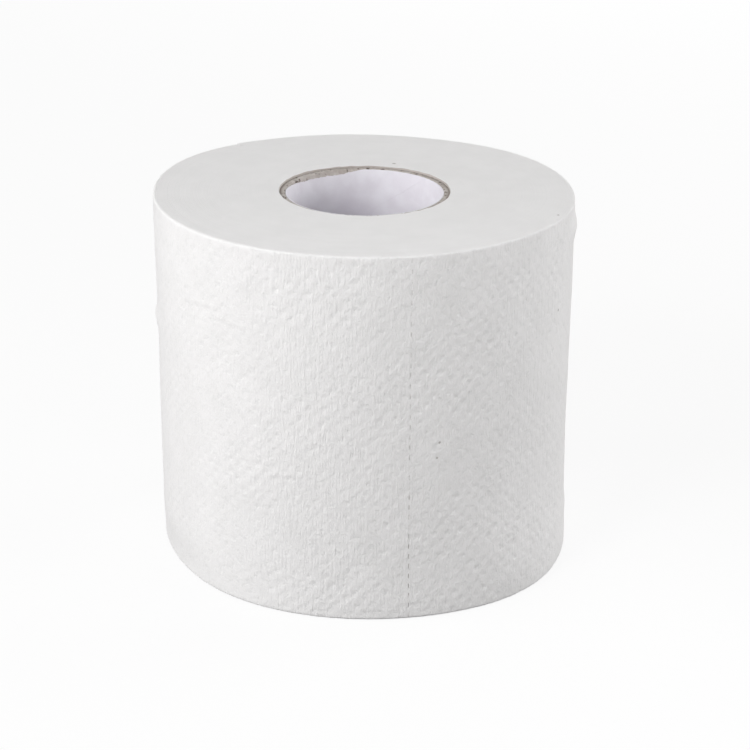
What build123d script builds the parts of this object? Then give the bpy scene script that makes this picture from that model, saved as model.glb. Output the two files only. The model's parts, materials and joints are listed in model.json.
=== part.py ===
from build123d import *
import os
from math import degrees

# Toilet paper roll, standing on its end.
# One long web of embossed tissue is wound on a paper core. The core is a chipboard tube, and its
# bore is lined with a thin white paper ply that was wound on as a helical strip.
# Frame: origin at the centre of the bottom face, +Z up along the core, -Y to the front.
# Lengths are in millimetres. Angles are in degrees about +Z, counted from +X towards +Y.

# Wound tissue
ROLL_RADIUS = 55.0         # from the core's axis to the tail, the outermost point of the web
ROLL_WIDTH = 97.0          # width of the web, so height of the standing roll
TURN_THICKNESS = 0.2       # one turn of the wound, embossed web
END_ROUNDING = 1.2         # soft outer edge of each end face
TAIL_ANGLE = 130.5         # where the web's free edge lies on the outside

# Tear lines across the outermost turn, one at each sheet's end
SHEET_LENGTH = 100.0
SLIT_PITCH = 2.7           # from one slit to the next along a tear line
SLIT_LENGTH = 1.35
SLIT_WIDTH = 0.16
SLIT_OVERSHOOT = 0.4       # how far a slit's cutter stands out of the web
TEAR_LINE_MARGIN = 2.0     # whole paper left at each end face

# Core
CORE_RADIUS = 22.25        # outside of the chipboard tube, and bore of the wound tissue
BOARD_THICKNESS = 1.5
BOARD_INSET = 0.45         # the soft tissue stands this far proud of the board at each end
LINER_THICKNESS = 0.25
LINER_INSET = 0.6          # from each end of the roll to the liner, so a little short of the board
SHORT_EDGE_DEPTH = 1.2     # extra inset where the liner was cut short at the top
SHORT_EDGE_START = 88.0    # that short stretch runs round the back left quarter
SHORT_EDGE_SPAN = 96.0

# Butt seam of the liner, a left-handed helix from end to end
SEAM_PITCH = 90.0
SEAM_GAP = 0.15
SEAM_ANGLE_AT_TOP = 38.0   # where the seam meets the top of the roll
SEAM_OVERSHOOT = 3.0       # how far the seam's cutter runs past each end

BOARD_BORE_RADIUS = CORE_RADIUS - BOARD_THICKNESS
LINER_BORE_RADIUS = BOARD_BORE_RADIUS - LINER_THICKNESS


def standing(radius, height, bottom=0.0):
    """A solid cylinder about the core's axis, standing at the given height."""
    return Pos(0, 0, bottom) * Cylinder(radius, height, align=(Align.CENTER, Align.CENTER, Align.MIN))


def half_roll(radius):
    """Half a solid roll with soft end edges, on the +Y side of the XZ plane."""
    outline = Rectangle(radius, ROLL_WIDTH, align=(Align.MIN, Align.MIN))
    outer_corners = outline.vertices().group_by(Axis.X)[-1]
    section = Plane.XZ * fillet(outer_corners, END_ROUNDING)
    return revolve(section, Axis.Z, 180)


def wound_web():
    """The web's outside: two half turns whose centres differ, so that one turn gains one thickness.

    The halves run smoothly into each other on one side. On the other they leave a step, the tail.
    """
    shift = TURN_THICKNESS / 4
    outer_half = Pos(shift, 0, 0) * Rot(0, 0, 180) * half_roll(ROLL_RADIUS - shift)
    inner_half = Pos(-shift, 0, 0) * half_roll(ROLL_RADIUS - 3 * shift)
    return Rot(0, 0, TAIL_ANGLE) * (outer_half + inner_half)


def tear_line_angles():
    """Angles of the tear lines on the outermost turn, going inward along the web from its tail."""
    sheet_angle = degrees(SHEET_LENGTH / ROLL_RADIUS)
    lines_on_a_turn = int(360 // sheet_angle)
    return [TAIL_ANGLE - count * sheet_angle for count in range(1, lines_on_a_turn + 1)]


def tear_line(angle):
    """The slits of one tear line, as cutters that reach through one turn of the web."""
    slit_count = int((ROLL_WIDTH - 2 * TEAR_LINE_MARGIN) // SLIT_PITCH)
    first_height = (ROLL_WIDTH - (slit_count - 1) * SLIT_PITCH) / 2
    depth = 2 * TURN_THICKNESS
    outward_from_here = (Align.MIN, Align.CENTER, Align.CENTER)
    slit = Box(depth + SLIT_OVERSHOOT, SLIT_WIDTH, SLIT_LENGTH, align=outward_from_here)
    heights = [first_height + index * SLIT_PITCH for index in range(slit_count)]
    return [Rot(0, 0, angle) * Pos(ROLL_RADIUS - depth, 0, height) * slit for height in heights]


def make_tissue_roll():
    """All turns of the tissue as one solid, wound tight on the core."""
    slits = [slit for angle in tear_line_angles() for slit in tear_line(angle)]
    return wound_web() - standing(CORE_RADIUS, ROLL_WIDTH) - slits


def tube(outer_radius, inner_radius, inset):
    """A plain tube that stops the given distance short of both end faces."""
    length = ROLL_WIDTH - 2 * inset
    return standing(outer_radius, length, inset) - standing(inner_radius, length, inset)


def make_core_board():
    """The chipboard tube that the web is wound on."""
    return tube(CORE_RADIUS, BOARD_BORE_RADIUS, BOARD_INSET)


def seam_cutter():
    """A narrow ribbon along the liner's helical seam, past both ends and through its thickness."""
    height = ROLL_WIDTH + 2 * SEAM_OVERSHOOT
    turns_to_top = (ROLL_WIDTH + SEAM_OVERSHOOT) / SEAM_PITCH
    start_angle = SEAM_ANGLE_AT_TOP + 360 * turns_to_top
    middle_radius = (BOARD_BORE_RADIUS + LINER_BORE_RADIUS) / 2
    path = Helix(SEAM_PITCH, height, middle_radius, lefthand=True)
    section = Plane(path @ 0, x_dir=(1, 0, 0), z_dir=path % 0) * Rectangle(4 * LINER_THICKNESS, SEAM_GAP)
    ribbon = sweep(section, path=path, is_frenet=True)
    return Rot(0, 0, start_angle) * Pos(0, 0, -SEAM_OVERSHOOT) * ribbon


def short_edge_cutter():
    """The ring sector that shortens the liner's top edge round the back left quarter."""
    bottom = ROLL_WIDTH - LINER_INSET - SHORT_EDGE_DEPTH
    sector = Cylinder(
        CORE_RADIUS,
        LINER_INSET + SHORT_EDGE_DEPTH,
        arc_size=SHORT_EDGE_SPAN,
        align=(Align.NONE, Align.NONE, Align.MIN),
    )
    return Rot(0, 0, SHORT_EDGE_START) * Pos(0, 0, bottom) * sector


def make_core_liner():
    """The white paper ply inside the board, a strip wound edge to edge along a helix."""
    ply = tube(BOARD_BORE_RADIUS, LINER_BORE_RADIUS, LINER_INSET)
    return ply - seam_cutter() - short_edge_cutter()


def export_parts(parts):
    """Writes each part to parts/NAME.step."""
    os.makedirs("parts", exist_ok=True)
    for name, part in parts.items():
        part.label = name
        export_step(part, f"parts/{name}.step")


export_parts(
    {
        "tissue_roll": make_tissue_roll(),
        "core_board": make_core_board(),
        "core_liner": make_core_liner(),
    }
)
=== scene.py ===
import json
import math

import bpy
import numpy as np
from mathutils import Matrix, Vector


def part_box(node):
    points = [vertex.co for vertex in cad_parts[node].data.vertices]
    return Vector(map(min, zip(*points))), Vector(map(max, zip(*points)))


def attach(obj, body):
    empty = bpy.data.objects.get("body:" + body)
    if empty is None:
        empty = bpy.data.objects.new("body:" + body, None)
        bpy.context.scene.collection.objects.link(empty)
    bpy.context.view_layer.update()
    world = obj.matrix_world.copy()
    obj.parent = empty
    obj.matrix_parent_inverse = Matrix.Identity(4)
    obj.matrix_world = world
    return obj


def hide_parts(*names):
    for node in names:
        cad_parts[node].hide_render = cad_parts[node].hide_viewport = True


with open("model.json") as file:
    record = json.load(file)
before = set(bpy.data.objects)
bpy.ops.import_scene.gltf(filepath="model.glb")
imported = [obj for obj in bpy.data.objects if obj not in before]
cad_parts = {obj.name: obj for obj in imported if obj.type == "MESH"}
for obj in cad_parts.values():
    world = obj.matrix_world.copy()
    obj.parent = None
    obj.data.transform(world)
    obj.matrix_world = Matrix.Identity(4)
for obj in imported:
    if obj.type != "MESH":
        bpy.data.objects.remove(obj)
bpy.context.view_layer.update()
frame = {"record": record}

# A toilet paper roll standing on its end: embossed white tissue wound on a chipboard core with a
# white paper liner. Lengths are in metres. Angles are in radians about +Z, from +X towards +Y.
# On the tissue, "along" is the distance along the outermost turn, counted inward from the tail.

MM = 0.001
TURN = 2 * math.pi

# Sizes from the frame
tissue_low, tissue_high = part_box("tissue_roll")
board_low, board_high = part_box("core_board")
liner_low, liner_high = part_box("core_liner")
mounts = {mount["name"]: mount for mount in frame["record"]["mounts"]}
ROLL_WIDTH = tissue_high.z - tissue_low.z
ROLL_RADIUS = max(tissue_high.y, -tissue_low.y, tissue_high.x, -tissue_low.x)
BOARD_RADIUS = board_high.x
BOARD_BORE = liner_high.x
LINER_BORE = mounts["core_bore"]["dims"]["r_mm"] * MM

# Outermost turn of the web
TURN_LENGTH = TURN * ROLL_RADIUS
TURN_THICKNESS = 0.2 * MM
TAIL_ANGLE = math.radians(130.5)
SHEET_LENGTH = 100 * MM
TAIL_STEP = 0.05 * MM       # how far the step at the tail leans along the web
TAIL_LIFT = 0.12 * MM       # how far the free edge stands off, and how much more at its top corner
TAIL_CORNER_LIFT = 0.25 * MM
TAIL_LIFT_REACH = 9 * MM
FRINGE = 0.16 * MM          # how far the torn fringes reach past the web's edge
FRINGE_GAP = 0.05 * MM      # and how far the paper between them falls short of it
FRINGE_WANDER = 0.04 * MM
SIDE_INSET = 0.15 * MM      # room for the relief inside the roll's largest radius

# Tear lines
SLIT_PITCH = 2.7 * MM
SLIT_LENGTH = SLIT_PITCH / 2
SLIT_HALF_WIDTH = 0.09 * MM
SLIT_SHOULDER = 0.55 * MM   # from the slit's middle to the undisturbed paper beside it
SLIT_DEPTH = 0.32 * MM
SLIT_LIP = 0.03 * MM
SLIT_WANDER = 0.06 * MM
TEAR_LINE_MARGIN = 2 * MM
SLIT_COUNT = int((ROLL_WIDTH - 2 * TEAR_LINE_MARGIN) // SLIT_PITCH)
FIRST_SLIT = (ROLL_WIDTH - (SLIT_COUNT - 1) * SLIT_PITCH) / 2

# Embossing: dimples in staggered rows. The tissue's mesh has six columns and six rows a cell.
CELL_STEPS = 6
SIDE_COLUMNS = 524
SIDE_ROWS = 154
ROW_HEIGHT = ROLL_WIDTH / SIDE_ROWS
COLUMN_WIDTH = TURN_LENGTH / SIDE_COLUMNS
CELL_WIDTH = CELL_STEPS * COLUMN_WIDTH
CELL_HEIGHT = CELL_STEPS * ROW_HEIGHT
EMBOSS_DEPTH = 0.28 * MM
EMBOSS_SHARPNESS = 3.0
FIRMEST_ANGLE = math.radians(-40)
PLAIN_AT_ENDS = 1.5 * MM                       # the dimples fade in over this much at each end
PLAIN_AT_TEAR_LINES = (0.3 * MM, 1.6 * MM)     # and between these distances from a tear line

# Soft end edges and end faces
RIM_ROWS = 1                # rows of the side that each soft end edge takes up
RIM_STEPS = 4
RIM_ROUNDING = RIM_ROWS * ROW_HEIGHT
RIM_INSET = 0.06 * MM       # how far the rim lies inside the roll's width
END_INSET = 0.12 * MM       # and the mean of the end face
CORE_WAVINESS = 0.07 * MM   # how far the innermost turns wander up and down, and how far out that reaches
CORE_WAVINESS_REACH = 0.8 * MM
# The end face's rings in stages: one column kept in how many, how many rings, how far in they reach
END_STAGES = [(1, 2, 1.3 * MM), (2, 12, 15 * MM), (4, 14, ROLL_RADIUS)]


def smooth_waves(seed, count, turns, wavelengths, amplitude):
    """A smooth random function of angle and height that closes round the roll."""
    random = np.random.default_rng(seed)
    around = random.integers(turns[0], turns[1] + 1, count)
    along = TURN / random.uniform(wavelengths[0], wavelengths[1], count) * random.choice([-1, 1], count)
    phases = random.uniform(0, TURN, count)

    def waves(angle, height):
        total = sum(np.sin(n * angle + k * height + p) for n, k, p in zip(around, along, phases))
        return amplitude * total / math.sqrt(count)

    return waves


def step_between(low, high, value):
    """0 below low, 1 above high, smooth between."""
    share = np.clip((value - low) / (high - low), 0, 1)
    return share * share * (3 - 2 * share)


def bell(distance, width):
    """1 at no distance, falling smoothly to nothing past a few widths."""
    return np.exp(-((distance / width) ** 2))


def angle_between(angle, centre):
    """Signed angle from centre to angle, between minus and plus half a turn."""
    return (angle - centre + math.pi) % TURN - math.pi


def bell_round(angle, middle, half_width):
    """A bell round the axis. Its middle and half width are in degrees."""
    return bell(np.degrees(angle_between(angle, math.radians(middle))), half_width)


# ---------------------------------------------------------------- mesh building

SHARP_ABOVE = math.radians(50)


def ring_faces(upper, lower):
    """Faces between two closed rings of vertex numbers. One ring may have twice as many as the other."""
    if len(upper) == len(lower):
        return np.stack([upper, np.roll(upper, -1), np.roll(lower, -1), lower], 1).tolist()
    flip = len(upper) < len(lower)
    fine, coarse = (lower, upper) if flip else (upper, lower)
    first, middle, last = fine[0::2], fine[1::2], np.roll(fine[0::2], -1)
    following = np.roll(coarse, -1)
    triangles = [(first, middle, coarse), (middle, following, coarse), (middle, last, following)]
    faces = np.concatenate([np.stack(corners, 1) for corners in triangles])
    return (faces[:, ::-1] if flip else faces).tolist()


def ring_mesh(name, rings):
    """A mesh through rings of points, from the first round to the first. They run clockwise from above."""
    counts = [len(ring) for ring in rings]
    starts = np.cumsum([0] + counts[:-1])
    numbers = [np.arange(start, start + count) for start, count in zip(starts, counts)]
    pairs = zip(numbers, numbers[1:] + numbers[:1])
    faces = [face for upper, lower in pairs for face in ring_faces(upper, lower)]
    return new_piece(name, np.concatenate(rings), faces)


def new_piece(name, points, faces):
    mesh = bpy.data.meshes.new(name)
    mesh.from_pydata(np.asarray(points).tolist(), [], faces)
    mesh.validate()
    mesh.shade_smooth()
    mesh.set_sharp_from_angle(angle=SHARP_ABOVE)
    piece = bpy.data.objects.new(name, mesh)
    bpy.context.scene.collection.objects.link(piece)
    return piece


def ring_points(angles, radii, heights):
    """Points of a ring, from arrays or single values."""
    angles, radii, heights = np.broadcast_arrays(angles, radii, heights)
    return np.stack([radii * np.cos(angles), radii * np.sin(angles), heights], 1)


# ---------------------------------------------------------------- wound tissue

random_strengths = np.random.default_rng(11).uniform(0.45, 1.15, 997)
emboss_patches = smooth_waves(12, 9, (2, 9), (25 * MM, 70 * MM), 0.28)
swell = smooth_waves(13, 12, (2, 7), (60 * MM, 160 * MM), 0.12 * MM)
ripple = smooth_waves(14, 16, (14, 46), (9 * MM, 30 * MM), 0.025 * MM)
crumple = smooth_waves(18, 48, (50, 200), (1.7 * MM, 6 * MM), 0.0115 * MM)
drift_along = smooth_waves(19, 24, (8, 40), (9 * MM, 30 * MM), 0.35 * MM)
drift_up = smooth_waves(20, 24, (8, 40), (9 * MM, 30 * MM), 0.4 * MM)
rim_raggedness = smooth_waves(15, 14, (40, 190), (40 * MM, 90 * MM), 0.045 * MM)
end_swell = smooth_waves(16, 8, (1, 4), (18 * MM, 45 * MM), 0.07 * MM)
turn_unevenness = smooth_waves(17, 12, (0, 2), (1.6 * MM, 5 * MM), 0.06 * MM)

# Where the side departs from a true cylinder: angle in degrees, height, how far outward, half width
# in degrees, half height. The foot also spreads all round.
SWELLINGS = [
    (-42, 4 * MM, 2.3 * MM, 30, 20 * MM),
    (-158, 0, -1.3 * MM, 24, 8 * MM),
    (182, 86 * MM, 0.5 * MM, 26, 22 * MM),
    (-5, 89.5 * MM, 0.7 * MM, 9, 2.6 * MM),
    (184, 64 * MM, 0.75 * MM, 8, 2.4 * MM),
    (-8, 11 * MM, 0.25 * MM, 7, 2.2 * MM),
]
FOOT_SPREAD = 0.45 * MM
FOOT_HEIGHT = 10 * MM

# Where the top end stands high or low at its rim: angle and half width in degrees, rise
TOP_RISES = [(156, 32, 1.1 * MM), (74, 26, -0.35 * MM)]

# Faint creases, left of the second tear line: how far past it they start, how high, how long, how they
# slope, how proud
CREASES = [
    (50 * MM, 79 * MM, 15 * MM, -0.05, 0.10 * MM),
    (41 * MM, 75 * MM, 13 * MM, 0.16, 0.10 * MM),
    (26 * MM, 39 * MM, 12 * MM, -0.12, 0.12 * MM),
    (34 * MM, 41 * MM, 9 * MM, 0.04, 0.07 * MM),
]
CREASE_WIDTH = 0.5 * MM
CREASE_ENDS = 0.3           # share of a crease's length over which each end fades


def emboss(along, height):
    """Relief of the dimples: one at each corner and one in the middle of every cell.

    Each dimple has a number, and through it a strength of its own.
    """
    angle = TAIL_ANGLE - along / ROLL_RADIUS
    firmness = 0.74 + 0.46 * np.cos(angle - FIRMEST_ANGLE)
    along, height = along + drift_along(angle, height), height + drift_up(angle, height)
    rising = along / CELL_WIDTH + height / CELL_HEIGHT
    falling = along / CELL_WIDTH - height / CELL_HEIGHT
    near = (0.5 + 0.5 * np.cos(TURN * rising)) * (0.5 + 0.5 * np.cos(TURN * falling))
    number = (np.round(rising) * 131 + np.round(falling) * 71).astype(int) % len(random_strengths)
    patch = np.clip(firmness + emboss_patches(angle, height), 0.25, 1.5)
    return -EMBOSS_DEPTH * random_strengths[number] * patch * near**EMBOSS_SHARPNESS


def creases(along, height):
    """Low ridges where the web was drawn in slightly askew."""
    total = 0
    for past_line, level, length, slope, proud in CREASES:
        into = along - (SHEET_LENGTH * 2 + past_line)
        across = height - level - slope * into
        share = into / length
        ends = step_between(0, CREASE_ENDS, share) * step_between(0, CREASE_ENDS, 1 - share)
        groove = 0.6 * bell(across + 0.9 * MM, 0.6 * MM)
        total = total + proud * ends * (bell(across, CREASE_WIDTH) - groove)
    return total


def tail_lift(along, height):
    """The free edge of the web stands off the roll a little, most at its top corner."""
    edge = 1 - step_between(0, TAIL_LIFT_REACH, along)
    return edge * (TAIL_LIFT + TAIL_CORNER_LIFT * step_between(0.6, 1.0, height / ROLL_WIDTH))


def web_surface(along, height):
    """Radius of the outermost turn."""
    angle = TAIL_ANGLE - along / ROLL_RADIUS
    spiral = ROLL_RADIUS - TURN_THICKNESS * along / TURN_LENGTH
    from_edge = np.minimum(height, ROLL_WIDTH - height)
    from_tear_line = np.abs((along + SHEET_LENGTH / 2) % SHEET_LENGTH - SHEET_LENGTH / 2)
    dimpled = step_between(0, PLAIN_AT_ENDS, from_edge) * step_between(*PLAIN_AT_TEAR_LINES, from_tear_line)
    relief = swell(angle, height) + ripple(angle, height) + crumple(angle, height) + creases(along, height)
    return spiral + relief + dimpled * emboss(along, height) + tail_lift(along, height) - SIDE_INSET


def tear_lines():
    """Distances along the outermost turn to its tear lines."""
    return [count * SHEET_LENGTH for count in range(1, int(TURN_LENGTH // SHEET_LENGTH) + 1)]


def column_distances():
    """Where each column of the side lies along the web, drawn together at the tear lines.

    The last column is the foot of the step at the tail, just past a full turn.
    """
    columns = np.arange(SIDE_COLUMNS) * COLUMN_WIDTH
    columns[-1] = TURN_LENGTH - TAIL_STEP
    beside = np.array([-SLIT_SHOULDER, -SLIT_HALF_WIDTH, 0, SLIT_HALF_WIDTH, SLIT_SHOULDER])
    slit_columns = []
    for line in tear_lines():
        middle = int(round(line / COLUMN_WIDTH))
        columns[middle - 2 : middle + 3] = line + beside
        slit_columns.append(middle)
    return columns, slit_columns


def slit_spans(random):
    """Lower and upper end of every slit of a tear line. They differ a little in place and length."""
    middles = FIRST_SLIT + np.arange(SLIT_COUNT) * SLIT_PITCH + random.normal(0, SLIT_WANDER, SLIT_COUNT)
    halves = SLIT_LENGTH / 2 * random.uniform(0.8, 1.15, SLIT_COUNT)
    return np.stack([middles - halves, middles + halves], 1)


def cut_slits(radii, heights, middle, random):
    """Presses one tear line's slits into the side's grid, with rows moved to each slit's ends.

    The slits stand open by different amounts, and less so towards the top.
    """
    columns = slice(middle - 1, middle + 2)
    for low, high in slit_spans(random):
        low_row, high_row = [int(np.argmin(np.abs(heights[:, middle] - end))) for end in (low, high)]
        heights[low_row, columns] = low
        heights[high_row, columns] = high
        inside = slice(low_row + 1, high_row)
        open_share = random.uniform(0.55, 1) * (1 - 0.35 * step_between(25 * MM, 75 * MM, low))
        radii[inside, middle] -= SLIT_DEPTH * open_share
        radii[inside, middle - 1] += SLIT_LIP
        radii[inside, middle + 1] += SLIT_LIP
    return radii, heights


def side_grid():
    """Angles, radii and heights of the side, one row of the grid for each height."""
    columns, slit_columns = column_distances()
    rows = np.arange(RIM_ROWS, SIDE_ROWS - RIM_ROWS + 1) * ROW_HEIGHT
    along, heights = np.meshgrid(columns, rows)
    radii = web_surface(along, heights)
    random = np.random.default_rng(21)
    for middle in slit_columns:
        radii, heights = cut_slits(radii, heights, middle, random)
    torn = tail_edge(rows, random)
    along[:, 0] = torn
    along[:, -1] = TURN_LENGTH - TAIL_STEP + torn
    angles = TAIL_ANGLE - along / ROLL_RADIUS
    return angles, radii, heights


def tail_edge(rows, random):
    """How far the torn free edge wanders: short fringes where the sheet was joined between slits."""
    joined = np.cos(TURN * rows / SLIT_PITCH) > 0
    return np.where(joined, -FRINGE, FRINGE_GAP) + random.normal(0, FRINGE_WANDER, len(rows))


def end_relief(radii, angles):
    """How far the wound edges of the turns stand out of the end face. The unevenness spirals inward."""
    spiral_radii = radii - TURN_THICKNESS * 6 * angles / TURN
    return end_swell(angles, radii) + turn_unevenness(0, spiral_radii)


def end_rings(rim_angles, rim_radii, level, outward):
    """Rings of an end face from the rim to the core, with fewer columns towards the core."""
    rings = []
    inset = 0
    for thinning, count, end in END_STAGES:
        angles, rim = rim_angles[::thinning], rim_radii[::thinning]
        stop = np.minimum(end, rim - BOARD_RADIUS)
        for step in range(1, count + 1):
            radii = rim - (inset + (stop - inset) * step / count)
            near_core = bell(radii - BOARD_RADIUS, CORE_WAVINESS_REACH)
            wandering = CORE_WAVINESS * near_core * np.sin(23 * angles + 2 * np.sin(7 * angles))
            relief = end_relief(radii, angles) + wandering
            heights = level - outward * np.maximum(END_INSET - relief, 0)
            rings.append(ring_points(angles, radii, heights))
        inset = stop[0]
    return rings


def rim_rings(angles, radii, outward):
    """The soft edge between the side and an end face, from the side inward."""
    level = ROLL_WIDTH if outward > 0 else 0
    ragged = rim_raggedness(angles, level)
    rings = []
    for step in range(1, RIM_STEPS + 1):
        turned = math.pi / 2 * step / RIM_STEPS
        inset = RIM_ROUNDING * (1 - math.cos(turned))
        height = level - outward * (RIM_ROUNDING * (1 - math.sin(turned)) + RIM_INSET * math.sin(turned))
        rings.append(ring_points(angles, radii - inset + ragged * math.sin(turned), height))
    return rings


def misshapen(points):
    """Moves points of the true cylinder by the swellings and rises. The core stays as it is."""
    x, y, z = points.T
    angle, radius = np.arctan2(y, x), np.hypot(x, y)
    near_side = (radius / ROLL_RADIUS) ** 6
    near_top = step_between(0.55, 1, z / ROLL_WIDTH)
    outward = sum(
        amount * bell_round(angle, middle, half_width) * bell(z - level, half_height)
        for middle, level, amount, half_width, half_height in SWELLINGS
    )
    outward = outward + FOOT_SPREAD * bell(z, FOOT_HEIGHT)
    rise = sum(amount * bell_round(angle, middle, half_width) for middle, half_width, amount in TOP_RISES)
    return ring_points(angle, radius + near_side * outward, z + near_side * near_top * rise)


def make_tissue():
    """The wound tissue as one closed mesh: side, soft edges, both end faces and the bore."""
    angles, radii, heights = side_grid()
    side = [ring_points(*row) for row in zip(angles, radii, heights)]
    top_rim = rim_rings(angles[-1], radii[-1], 1)
    top_end = end_rings(angles[-1], radii[-1] - RIM_ROUNDING, ROLL_WIDTH, 1)
    bottom_rim = rim_rings(angles[0], radii[0], -1)
    bottom_end = end_rings(angles[0], radii[0] - RIM_ROUNDING, 0, -1)
    rings = top_end[::-1] + top_rim[::-1] + side[::-1] + bottom_rim + bottom_end
    return ring_mesh("wound_tissue", [misshapen(ring) for ring in rings])


# ---------------------------------------------------------------- core

board_ripple = smooth_waves(31, 14, (9, 60), (3 * MM, 12 * MM), 0.03 * MM)
board_raggedness = smooth_waves(32, 24, (20, 170), (1 * MM, 4 * MM), 0.045 * MM)
liner_wrinkles = smooth_waves(34, 12, (5, 24), (14 * MM, 60 * MM), 0.035 * MM)

BOARD_COLUMNS = 480
BOARD_CORNER = 0.14 * MM    # rounding of the board's cut edges
BOARD_INSET = 0.1 * MM      # how far the rough cut edge lies inside the board's length
BORE_CLEARANCE = 0.03 * MM
# Rings of the board's bore by their depth from the cut edge, closer together where the board is seen
BORE_DEPTHS = np.array([9, 5, 3.2, 2.4, 1.8, 1.3, 0.9, 0.5, 0.25]) * MM
# Rings of the cut edge by their share of the board's thickness, from the bore outward
EDGE_SHARES = np.array([0.02, 0.12, 0.3, 0.5, 0.7, 0.88, 0.98])


def board_edge(angles, level, outward):
    """Rings of a rough cut edge of the board, from the bore outward."""
    rings = []
    for share in EDGE_SHARES:
        radius = BOARD_BORE + (BOARD_RADIUS - BOARD_BORE) * share
        rounding = BOARD_CORNER * abs(2 * share - 1) ** 6
        rough = board_raggedness(angles, radius)
        rings.append(ring_points(angles, radius, level - outward * (rounding + BOARD_INSET - rough)))
    return rings


def board_bore(angles, level, outward):
    """Rings of the board's bore at one of its ends, from the deepest to the cut edge."""
    rings = []
    for depth in BORE_DEPTHS:
        height = level - outward * depth
        radii = BOARD_BORE + board_ripple(angles, height) / 2 + BORE_CLEARANCE
        rings.append(ring_points(angles, radii, height))
    return rings


def make_board():
    """The chipboard tube, with rough cut edges."""
    angles = -np.arange(BOARD_COLUMNS) * TURN / BOARD_COLUMNS
    low, high = board_low.z, board_high.z
    top = board_bore(angles, high, 1) + board_edge(angles, high, 1)
    bottom = board_bore(angles, low, -1) + board_edge(angles, low, -1)
    return ring_mesh("core_board_tube", top + bottom[::-1])


SEAM_PITCH = 90 * MM
SEAM_GAP = 0.02 * MM
SEAM_ANGLE_AT_TOP = math.radians(38)
SEAM_LIFT = 0.03 * MM       # how far the ply stands off beside its seam, and over what distance
SEAM_LIFT_REACH = 1.2 * MM
SHORT_EDGE_START = math.radians(88)
SHORT_EDGE_SPAN = math.radians(96)
SHORT_EDGE_DEPTH = 1.2 * MM
SHORT_EDGE_ONSET = 0.4      # radians over which the edge drops at its start
SHORT_EDGE_RETURN = 1.0     # and comes back at its end
CUT_REACH = 3 * MM          # how far down the rows of the ply follow its torn edge
LINER_INSET = 0.06 * MM     # mean distance of the wrinkled ply from its solid's wall
LINER_EDGE_DROP = 0.05 * MM
LINER_COLUMNS = 400
FINE_DEPTH = 14 * MM        # the seen part of the ply has finer rows
FINE_ROWS = 22
COARSE_ROWS = 34
short_edge_tears = smooth_waves(35, 18, (12, 130), (50 * MM, 90 * MM), 0.10 * MM)
long_edge_tears = smooth_waves(36, 18, (12, 130), (50 * MM, 90 * MM), 0.03 * MM)


def liner_top(angles):
    """Height of the liner's top edge: torn short round the back left quarter."""
    into = angle_between(angles, SHORT_EDGE_START)
    into = np.where(into < -math.pi / 2, into + TURN, into)
    end = SHORT_EDGE_SPAN + 0.05
    short = step_between(0, SHORT_EDGE_ONSET, into) * (1 - step_between(end - SHORT_EDGE_RETURN, end, into))
    torn_off = short * (SHORT_EDGE_DEPTH + short_edge_tears(angles, 0))
    return liner_high.z - torn_off + long_edge_tears(angles, 0) * (1 - short) - LINER_EDGE_DROP


def make_liner():
    """The white ply: a strip wound along a helix, edge to edge, with a narrow gap at its seam."""
    fine_rows = np.linspace(0, FINE_DEPTH, FINE_ROWS)
    coarse_rows = np.linspace(FINE_DEPTH, liner_high.z - liner_low.z, COARSE_ROWS)[1:]
    depths = np.concatenate([fine_rows, coarse_rows])
    helix_slope = math.atan(SEAM_PITCH / (TURN * LINER_BORE))
    gap_angle = SEAM_GAP / math.sin(helix_slope) / LINER_BORE
    sweep = np.linspace(gap_angle / 2, TURN - gap_angle / 2, LINER_COLUMNS)
    from_seam = np.minimum(sweep - gap_angle / 2, TURN - gap_angle / 2 - sweep) * LINER_BORE
    lift = SEAM_LIFT * bell(from_seam, SEAM_LIFT_REACH)
    # Each face of the ply: its radius, how much of the wrinkles it follows, its rows
    layers = [(LINER_BORE, 1, depths), (BOARD_BORE - 0.02 * MM, 0.9, depths[::-1])]
    rows = []
    for radius, wrinkled, levels in layers:
        for depth in levels:
            angles = SEAM_ANGLE_AT_TOP + TURN * depth / SEAM_PITCH - sweep
            cut = liner_high.z - liner_top(angles)
            heights = liner_high.z - depth - cut * (1 - step_between(0, CUT_REACH, depth))
            inward = np.maximum(0, LINER_INSET + liner_wrinkles(angles, heights)) + lift
            rows.append(ring_points(angles, radius - inward * wrinkled, heights))
    return new_piece("core_liner_ply", np.concatenate(rows), liner_faces(len(rows)))


def liner_faces(row_count):
    """Faces of the ply: its sides and its two ends as a loop of rows, and its two edges at the seam."""
    numbers = np.arange(row_count * LINER_COLUMNS).reshape(row_count, LINER_COLUMNS)
    faces = []
    for upper, lower in zip(numbers, np.roll(numbers, -1, 0)):
        faces += np.stack([upper[:-1], lower[:-1], lower[1:], upper[1:]], 1).tolist()
    half = row_count // 2
    for column, turn_round in ((0, True), (-1, False)):
        inner_side = numbers[:half, column]
        outer_side = numbers[half:, column][::-1]
        strip = np.stack([inner_side[:-1], inner_side[1:], outer_side[1:], outer_side[:-1]], 1)
        faces += (strip[:, ::-1] if turn_round else strip).tolist()
    return faces


# ---------------------------------------------------------------- materials

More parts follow.
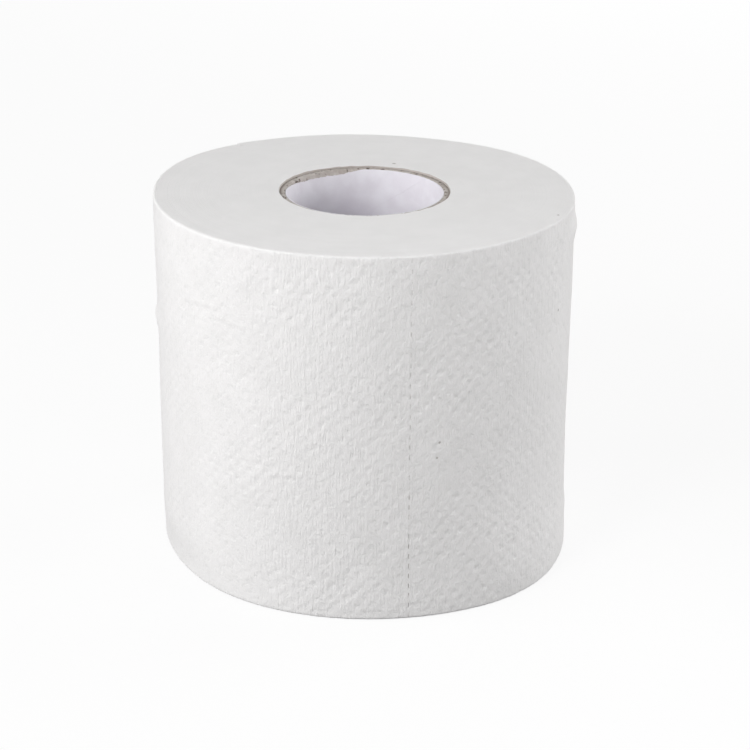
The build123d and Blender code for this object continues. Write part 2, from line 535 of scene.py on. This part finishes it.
class Graph:
    """Short calls for one material's nodes. An input is a number, a tuple or another node's output."""

    def __init__(self, name):
        self.material = bpy.data.materials.new(name)
        self.material.use_nodes = True
        self.tree = self.material.node_tree
        self.shader = self.tree.nodes["Principled BSDF"]
        self.place = self.node("ShaderNodeTexCoord").outputs["Object"]

    def node(self, kind, **settings):
        node = self.tree.nodes.new(kind)
        for name, value in settings.items():
            setattr(node, name, value)
        return node

    def feed(self, socket, value):
        if isinstance(value, bpy.types.NodeSocket):
            self.tree.links.new(value, socket)
        else:
            socket.default_value = value

    def math(self, operation, *values):
        node = self.node("ShaderNodeMath", operation=operation)
        for socket, value in zip(node.inputs, values):
            self.feed(socket, value)
        return node.outputs[0]

    def product(self, first, *others):
        for value in others:
            first = self.math("MULTIPLY", first, value)
        return first

    def from_axis(self, x, y):
        return self.math("SQRT", self.math("ADD", self.math("MULTIPLY", x, x), self.math("MULTIPLY", y, y)))

    def split(self, vector):
        node = self.node("ShaderNodeSeparateXYZ")
        self.feed(node.inputs[0], vector)
        return node.outputs

    def combine(self, x, y, z):
        node = self.node("ShaderNodeCombineXYZ")
        for socket, value in zip(node.inputs, (x, y, z)):
            self.feed(socket, value)
        return node.outputs[0]

    def stretched(self, scales):
        node = self.node("ShaderNodeVectorMath", operation="MULTIPLY")
        self.feed(node.inputs[0], self.place)
        self.feed(node.inputs[1], scales)
        return node.outputs[0]

    def distance(self, point):
        node = self.node("ShaderNodeVectorMath", operation="DISTANCE")
        self.feed(node.inputs[0], self.place)
        self.feed(node.inputs[1], point)
        return node.outputs["Value"]

    def noise(self, vector, scale, detail=2.0, roughness=0.5):
        node = self.node("ShaderNodeTexNoise")
        self.feed(node.inputs["Vector"], vector)
        node.inputs["Scale"].default_value = scale
        node.inputs["Detail"].default_value = detail
        node.inputs["Roughness"].default_value = roughness
        return node.outputs["Fac"]

    def between(self, value, low, high, out_low=0.0, out_high=1.0):
        node = self.node("ShaderNodeMapRange", interpolation_type="SMOOTHSTEP")
        for socket, number in zip(node.inputs, (value, low, high, out_low, out_high)):
            self.feed(socket, number)
        return node.outputs[0]

    def blend(self, share, first, second):
        node = self.node("ShaderNodeMix", data_type="RGBA")
        self.feed(node.inputs["Factor"], share)
        self.feed(node.inputs["A"], first)
        self.feed(node.inputs["B"], second)
        return node.outputs["Result"]

    def bump(self, height, depth, under=None):
        node = self.node("ShaderNodeBump")
        node.inputs["Strength"].default_value = 1.0
        node.inputs["Distance"].default_value = depth
        self.feed(node.inputs["Height"], height)
        if under is not None:
            self.feed(node.inputs["Normal"], under)
        return node.outputs["Normal"]


WHITE = (0.87, 0.86, 0.857, 1)
BRIGHT_WHITE = (0.90, 0.889, 0.887, 1)
TURN_EDGES = (0.80, 0.80, 0.79, 1)
# Painted shade for the hollows of the side's fine relief
HOLLOW_PAINTED_SHADE = (0.76, 0.76, 0.755, 1)
# Painted shade for the open slits of the tear lines
SLIT_PAINTED_SHADE = (0.42, 0.38, 0.35, 1)
BOARD_STAIN = (0.30, 0.24, 0.20, 1)
SPECK = (0.32, 0.29, 0.27, 1)

# Specks in the paper: angle in degrees, distance from the axis, height, and the radius at which they
# have faded out. Three are on the side and two on the top end.
SPECKS = [
    (-69.8, ROLL_RADIUS - SIDE_INSET, 47.6 * MM, 0.55 * MM),
    (-70.5, ROLL_RADIUS - SIDE_INSET, 43.6 * MM, 0.45 * MM),
    (-25.1, ROLL_RADIUS - SIDE_INSET, 72.3 * MM, 0.5 * MM),
    (72.1, 25.7 * MM, ROLL_WIDTH - END_INSET, 0.8 * MM),
    (-23.1, 53 * MM, ROLL_WIDTH - END_INSET, 0.5 * MM),
]


def tear_line_shade(graph, x, y, z):
    """Share of painted shade in the slits of the tear lines."""
    angle = graph.math("ARCTAN2", y, x)
    turns = graph.math("FRACT", graph.math("DIVIDE", graph.math("SUBTRACT", TAIL_ANGLE, angle), TURN))
    sheets = graph.math("FRACT", graph.math("MULTIPLY_ADD", turns, TURN_LENGTH / SHEET_LENGTH, 0.5))
    from_line = graph.math("ABSOLUTE", graph.math("SUBTRACT", sheets, 0.5))
    across = graph.between(from_line, 0.06 * MM / SHEET_LENGTH, 0.20 * MM / SHEET_LENGTH, 1.0, 0.0)
    slits_up = graph.math("DIVIDE", graph.math("SUBTRACT", z, FIRST_SLIT), SLIT_PITCH)
    in_slit = graph.between(graph.math("COSINE", graph.math("MULTIPLY", slits_up, TURN)), -0.1, 0.3)
    stronger_low = graph.between(z, 25 * MM, 60 * MM, 0.55, 0.22)
    uneven = graph.between(graph.noise(graph.place, 230.0), 0.35, 0.6, 0.2, 1.0)
    return graph.product(across, in_slit, stronger_low, uneven)


def side_firmness(graph, x, y):
    """How strong the fine relief is round the side: most at the front, least at the left."""
    sideways = graph.math("DIVIDE", x, ROLL_RADIUS)
    firmness = graph.math("MULTIPLY_ADD", y, -0.12 / ROLL_RADIUS, 1.1)
    firmness = graph.math("MULTIPLY_ADD", sideways, 0.3, firmness)
    return graph.math("SUBTRACT", firmness, graph.product(sideways, sideways, 0.7))


def tissue_relief(graph, on_end, on_side, relief, heights):
    """Normals of the creped paper on the side and of the turns' edges on the end faces."""
    peel, pits, crepe, turns, fibres = heights
    normal = None
    # Height, its mean, where it acts, and its depth
    for height, mean, where, depth in (
        (peel, 0.5, relief, 0.08 * MM),
        (pits, 0.95, relief, 0.035 * MM),
        (crepe, 0.5, relief, 0.19 * MM),
        (turns, 0.5, on_end, 0.10 * MM),
        (fibres, 0.5, graph.between(on_side, 0.0, 1.0, 0.3, 1.0), 0.10 * MM),
    ):
        centred = graph.math("MULTIPLY", graph.math("SUBTRACT", height, mean), where)
        normal = graph.bump(centred, depth, normal)
    return normal


def tissue_material():
    """White creped tissue, with painted shade in its hollows and tear lines and a stain beside the board.
    """
    graph = Graph("tissue")
    x, y, z = graph.split(graph.place)
    radius = graph.from_axis(x, y)
    normal = graph.split(graph.node("ShaderNodeTexCoord").outputs["Normal"])
    on_end = graph.between(graph.math("ABSOLUTE", normal[2]), 0.55, 0.9)
    on_side = graph.math("SUBTRACT", 1.0, on_end)
    relief = graph.math("MULTIPLY", on_side, side_firmness(graph, x, y))
    crepe = graph.noise(graph.stretched((1.0, 1.0, 0.14)), 1700.0, 3.0, 0.6)
    fibres = graph.noise(graph.stretched((1.0, 1.0, 0.6)), 2600.0, 3.0, 0.6)
    peel = graph.noise(graph.stretched((1.0, 1.0, 0.8)), 950.0, 2.0, 0.5)
    pits = graph.between(graph.noise(graph.stretched((1.0, 1.0, 0.9)), 760.0, 1.0, 0.5), 0.3, 0.46)
    wander = graph.math("MULTIPLY", graph.noise(graph.place, 60.0), 1.2 * MM)
    turns = graph.noise(graph.combine(graph.math("ADD", radius, wander), 0.0, 0.0), 3200.0, 3.0, 0.7)
    heights = (peel, pits, crepe, turns, fibres)
    graph.feed(graph.shader.inputs["Normal"], tissue_relief(graph, on_end, on_side, relief, heights))
    mottle = graph.noise(graph.place, 120.0, 4.0, 0.6)
    colour = graph.blend(graph.between(mottle, 0.3, 0.7), WHITE, BRIGHT_WHITE)
    colour = graph.blend(graph.product(graph.between(turns, 0.35, 0.65), on_end, 0.35), colour, TURN_EDGES)
    # Painted shade: the side is tinted darker in the hollows of its fine pitted relief.
    painted_shade_in_hollows = graph.math("SUBTRACT", 1.0, pits)
    colour = graph.blend(graph.product(painted_shade_in_hollows, on_side, 0.25), colour, HOLLOW_PAINTED_SHADE)
    # Painted shade in the slits of the tear lines.
    colour = graph.blend(tear_line_shade(graph, x, y, z), colour, SLIT_PAINTED_SHADE)
    near_board = graph.between(radius, BOARD_RADIUS + 0.03 * MM, BOARD_RADIUS + 0.22 * MM, 0.65, 0.0)
    colour = graph.blend(near_board, colour, BOARD_STAIN)
    for degrees, from_axis, height, size in SPECKS:
        turned = math.radians(degrees)
        spot = (from_axis * math.cos(turned), from_axis * math.sin(turned), height)
        near = graph.between(graph.distance(spot), 0.3 * size, size, 0.75, 0.0)
        colour = graph.blend(near, colour, SPECK)
    graph.feed(graph.shader.inputs["Base Color"], colour)
    graph.feed(graph.shader.inputs["Roughness"], graph.between(fibres, 0.2, 0.8, 0.86, 0.98))
    graph.shader.inputs["Specular IOR Level"].default_value = 0.25
    graph.shader.inputs["Sheen Weight"].default_value = 0.08
    return graph.material


BOARD_DARK = (0.36, 0.315, 0.285, 1)
BOARD_LIGHT = (0.58, 0.535, 0.50, 1)
BOARD_CLUMPS = (0.66, 0.62, 0.59, 1)
BOARD_SPOTS = (0.13, 0.10, 0.085, 1)
BOARD_OUTER_EDGE = (0.17, 0.13, 0.105, 1)


def board_material():
    """Grey-brown board of coarse fibres, darker at its outer edge."""
    graph = Graph("chipboard")
    fibres = graph.noise(graph.stretched((1.0, 1.0, 0.7)), 1500.0, 4.0, 0.65)
    clumps = graph.noise(graph.place, 420.0, 3.0, 0.6)
    spots = graph.between(graph.noise(graph.place, 750.0, 2.0, 0.5), 0.60, 0.68)
    board = graph.blend(fibres, BOARD_DARK, BOARD_LIGHT)
    board = graph.blend(graph.between(clumps, 0.4, 0.7, 0.0, 0.7), board, BOARD_CLUMPS)
    board = graph.blend(spots, board, BOARD_SPOTS)
    x, y, z = graph.split(graph.place)
    radius = graph.from_axis(x, y)
    outer_edge = graph.between(radius, BOARD_RADIUS - 0.8 * MM, BOARD_RADIUS - 0.1 * MM, 0.0, 0.52)
    board = graph.blend(outer_edge, board, BOARD_OUTER_EDGE)
    graph.feed(graph.shader.inputs["Base Color"], board)
    graph.feed(graph.shader.inputs["Normal"], graph.bump(fibres, 0.12 * MM, graph.bump(clumps, 0.2 * MM)))
    graph.feed(graph.shader.inputs["Roughness"], graph.between(clumps, 0.3, 0.7, 0.82, 0.97))
    graph.shader.inputs["Specular IOR Level"].default_value = 0.3
    return graph.material


LINER_WHITE = (0.78, 0.755, 0.805, 1)
LINER_BRIGHT_WHITE = (0.84, 0.825, 0.87, 1)
LINER_FIBRES = (0.74, 0.70, 0.73, 1)
# Painted shade for the back wall of the bore, and where its patch is darkest
LINER_PAINTED_SHADE = (0.60, 0.565, 0.63, 1)
LINER_PAINTED_SHADE_MIDDLE = (-3 * MM, 20 * MM, 81 * MM)


def liner_material():
    """Smooth white paper with a cool tint, and a darker patch of painted shade at the back of the bore."""
    graph = Graph("liner_paper")
    fibres = graph.noise(graph.place, 2200.0, 4.0, 0.6)
    clouds = graph.noise(graph.place, 150.0, 3.0, 0.55)
    paper = graph.blend(graph.between(clouds, 0.35, 0.65), LINER_WHITE, LINER_BRIGHT_WHITE)
    paper = graph.blend(graph.between(fibres, 0.55, 0.8, 0.0, 0.35), paper, LINER_FIBRES)
    # Painted shade: the paper darkens round a point down the back wall of the bore.
    painted_shade_patch = graph.between(graph.distance(LINER_PAINTED_SHADE_MIDDLE), 3 * MM, 11 * MM, 0.58, 0.0)
    paper = graph.blend(painted_shade_patch, paper, LINER_PAINTED_SHADE)
    graph.feed(graph.shader.inputs["Base Color"], paper)
    graph.feed(graph.shader.inputs["Normal"], graph.bump(fibres, 0.02 * MM, graph.bump(clouds, 0.25 * MM)))
    graph.feed(graph.shader.inputs["Roughness"], graph.between(clouds, 0.3, 0.7, 0.55, 0.7))
    graph.shader.inputs["Specular IOR Level"].default_value = 0.4
    return graph.material


# ---------------------------------------------------------------- stage, light and camera

CAMERA_DISTANCE = 561.6 * MM
CAMERA_ELEVATION = math.radians(21.65)
CAMERA_ROLL = math.radians(0.44)
CAMERA_LENS = 100
AIM_RIGHT = 3.05 * MM
AIM_DOWN = 3.45 * MM
SENSOR_WIDTH = 36
FLOOR_REACH = 3.0
FLOOR_FOR_LIGHT = (0.08, 0.08, 0.08, 1)
FLOOR_FOR_CAMERA = (0.95, 0.95, 0.95, 1)
CLEAN_WHITE = 0.86          # share of even white in what the camera sees of the floor
AMBIENT = 0.2
LAMPS = {                   # direction from the roll, distance, size, power in watts
    "key": ((-0.75, -0.9, 0.7), 1.1, 0.35, 4.3),
    "left_soft": ((-1, -0.3, 0.25), 1.1, 0.8, 8.2),
    "right_low": ((1, -0.35, 0.1), 1.1, 0.5, 4.7),
    "right_back": ((1, 0.45, 0.35), 1.1, 0.6, 4.5),
    "back_soft": ((0.1, 1, 0.35), 1.1, 0.8, 4.0),
    "near_front": ((0.1, -0.9, 0.45), 0.34, 0.15, 0.18),
    "near_right": ((0.7, -0.7, 0.5), 0.34, 0.15, 0.04),
}


def seen_directly(tree):
    """1 for rays that show the backdrop itself: from the camera, a mirror or a clear piece."""
    path = tree.nodes.new("ShaderNodeLightPath")
    seen = path.outputs["Is Camera Ray"]
    for name in ("Is Glossy Ray", "Is Transmission Ray"):
        either = tree.nodes.new("ShaderNodeMath")
        either.operation = "MAXIMUM"
        tree.links.new(seen, either.inputs[0])
        tree.links.new(path.outputs[name], either.inputs[1])
        seen = either.outputs[0]
    return seen


def make_floor():
    """A plain pale floor that shows nearly white and keeps a soft shadow."""
    corners = [(x * FLOOR_REACH, y * FLOOR_REACH, 0) for x, y in ((-1, -1), (1, -1), (1, 1), (-1, 1))]
    mesh = bpy.data.meshes.new("floor")
    mesh.from_pydata(corners, [], [(0, 1, 2, 3)])
    floor = bpy.data.objects.new("floor", mesh)
    bpy.context.scene.collection.objects.link(floor)
    material = bpy.data.materials.new("floor")
    material.use_nodes = True
    tree = material.node_tree
    shader = tree.nodes["Principled BSDF"]
    colour = tree.nodes.new("ShaderNodeMix")
    colour.data_type = "RGBA"
    colour.inputs["A"].default_value = FLOOR_FOR_LIGHT
    colour.inputs["B"].default_value = FLOOR_FOR_CAMERA
    tree.links.new(seen_directly(tree), colour.inputs["Factor"])
    tree.links.new(colour.outputs["Result"], shader.inputs["Base Color"])
    shader.inputs["Roughness"].default_value = 1.0
    shader.inputs["Specular IOR Level"].default_value = 0.0
    glow = tree.nodes.new("ShaderNodeEmission")
    glow.inputs["Strength"].default_value = 1.0
    share = tree.nodes.new("ShaderNodeMath")
    share.operation = "MULTIPLY"
    share.inputs[1].default_value = CLEAN_WHITE
    mix = tree.nodes.new("ShaderNodeMixShader")
    tree.links.new(seen_directly(tree), share.inputs[0])
    tree.links.new(share.outputs[0], mix.inputs[0])
    tree.links.new(shader.outputs[0], mix.inputs[1])
    tree.links.new(glow.outputs[0], mix.inputs[2])
    tree.links.new(mix.outputs[0], tree.nodes["Material Output"].inputs["Surface"])
    mesh.materials.append(material)


def make_world(strength):
    """Even soft light from all round, and a white backdrop."""
    world = bpy.data.worlds.new("studio")
    world.use_nodes = True
    tree = world.node_tree
    ambient = tree.nodes["Background"]
    ambient.inputs["Color"].default_value = (1, 1, 1, 1)
    ambient.inputs["Strength"].default_value = strength
    backdrop = tree.nodes.new("ShaderNodeBackground")
    backdrop.inputs["Color"].default_value = (1, 1, 1, 1)
    backdrop.inputs["Strength"].default_value = 1.0
    mix = tree.nodes.new("ShaderNodeMixShader")
    tree.links.new(seen_directly(tree), mix.inputs[0])
    tree.links.new(ambient.outputs[0], mix.inputs[1])
    tree.links.new(backdrop.outputs[0], mix.inputs[2])
    tree.links.new(mix.outputs[0], tree.nodes["World Output"].inputs["Surface"])
    bpy.context.scene.world = world


def make_lamps():
    """Square lamps that look at the middle of the roll. The camera doesn't see them."""
    for name, (towards, distance, size, power) in LAMPS.items():
        lamp = bpy.data.lights.new(name, "AREA")
        lamp.energy = power
        lamp.size = size
        holder = bpy.data.objects.new(name, lamp)
        direction = Vector(towards).normalized()
        holder.location = roll_centre + direction * distance
        holder.rotation_euler = direction.to_track_quat("Z", "Y").to_euler()
        holder.visible_camera = False
        bpy.context.scene.collection.objects.link(holder)


def make_camera():
    """The camera in front of the roll and a little above it, turned slightly about its own axis."""
    back = Vector((0, -math.cos(CAMERA_ELEVATION), math.sin(CAMERA_ELEVATION)))
    right = Vector((1, 0, 0))
    up = back.cross(right)
    place = roll_centre + back * CAMERA_DISTANCE
    aim = roll_centre + right * AIM_RIGHT - up * AIM_DOWN
    camera = bpy.data.objects.new("camera", bpy.data.cameras.new("camera"))
    camera.data.lens = CAMERA_LENS
    camera.data.sensor_width = SENSOR_WIDTH
    turned = (place - aim).to_track_quat("Z", "Y").to_matrix() @ Matrix.Rotation(CAMERA_ROLL, 3, "Z")
    camera.matrix_world = Matrix.Translation(place) @ turned.to_4x4()
    bpy.context.scene.collection.objects.link(camera)
    bpy.context.scene.camera = camera


# ---------------------------------------------------------------- assembly

def dress(piece, material, node):
    """Gives a piece its material and its place in the frame."""
    piece.data.materials.append(material)
    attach(piece, "root")
    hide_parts(node)


roll_centre = Vector((0, 0, ROLL_WIDTH / 2))
dress(make_tissue(), tissue_material(), "tissue_roll")
dress(make_board(), board_material(), "core_board")
dress(make_liner(), liner_material(), "core_liner")
make_floor()
make_world(AMBIENT)
make_lamps()
make_camera()
bpy.context.scene.view_settings.view_transform = "Standard"
